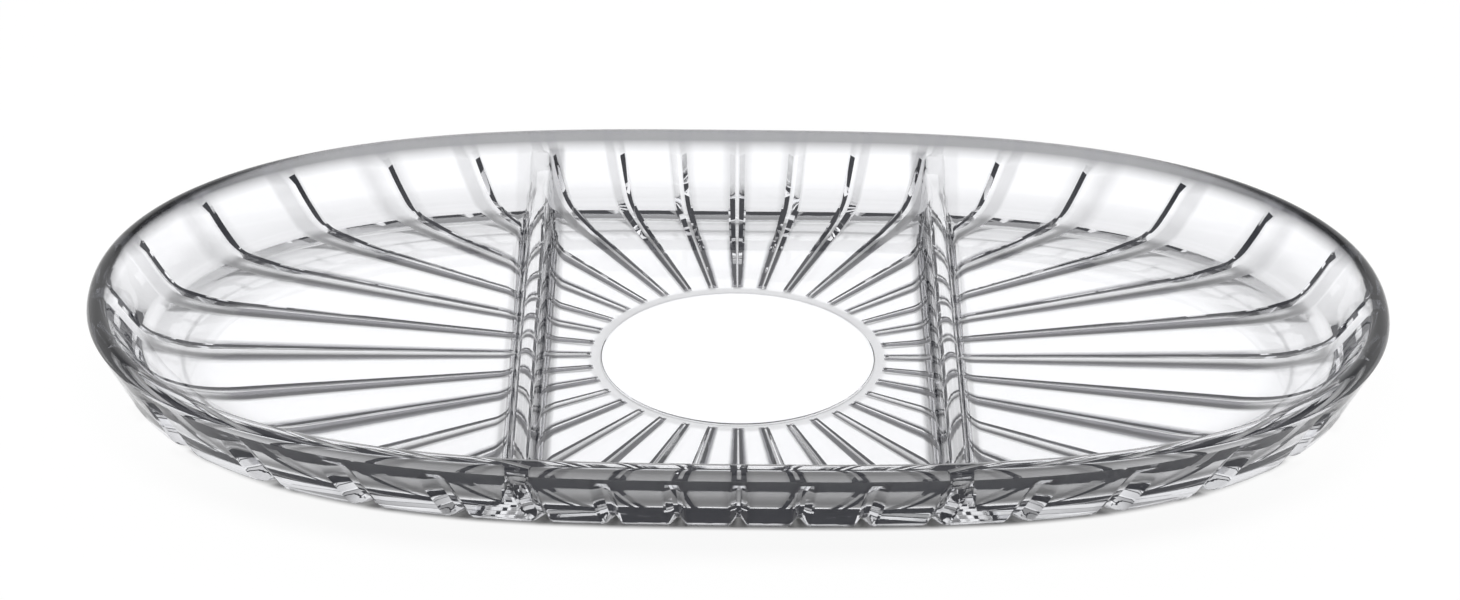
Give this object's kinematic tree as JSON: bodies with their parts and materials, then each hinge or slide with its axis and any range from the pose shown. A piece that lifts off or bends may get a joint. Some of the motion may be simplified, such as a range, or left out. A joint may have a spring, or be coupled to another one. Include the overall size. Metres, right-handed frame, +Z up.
{
  "type": "relish tray",
  "caption": "Oval clear pressed-glass relish tray with raised cross dividers, a half-round rim, a plain round medallion and radial V grooves on the outside.",
  "frame": {"origin": "middle of the base, on the table", "axes": "+Z up, +X along the tray's length to the right, +Y from the front long side to the back one"},
  "size_m": [0.33, 0.187, 0.023],
  "materials": {
    "glass": "clear, fire-polished"
  },
  "bodies": {
    "root": {"rim": "glass", "front_wall": "glass", "back_wall": "glass", "left_end_wall": "glass", "right_end_wall": "glass", "left_floor": "glass", "centre_floor": "glass", "right_floor": "glass", "medallion": "glass", "left_divider": "glass", "right_divider": "glass"}
  },
  "joints": []
}
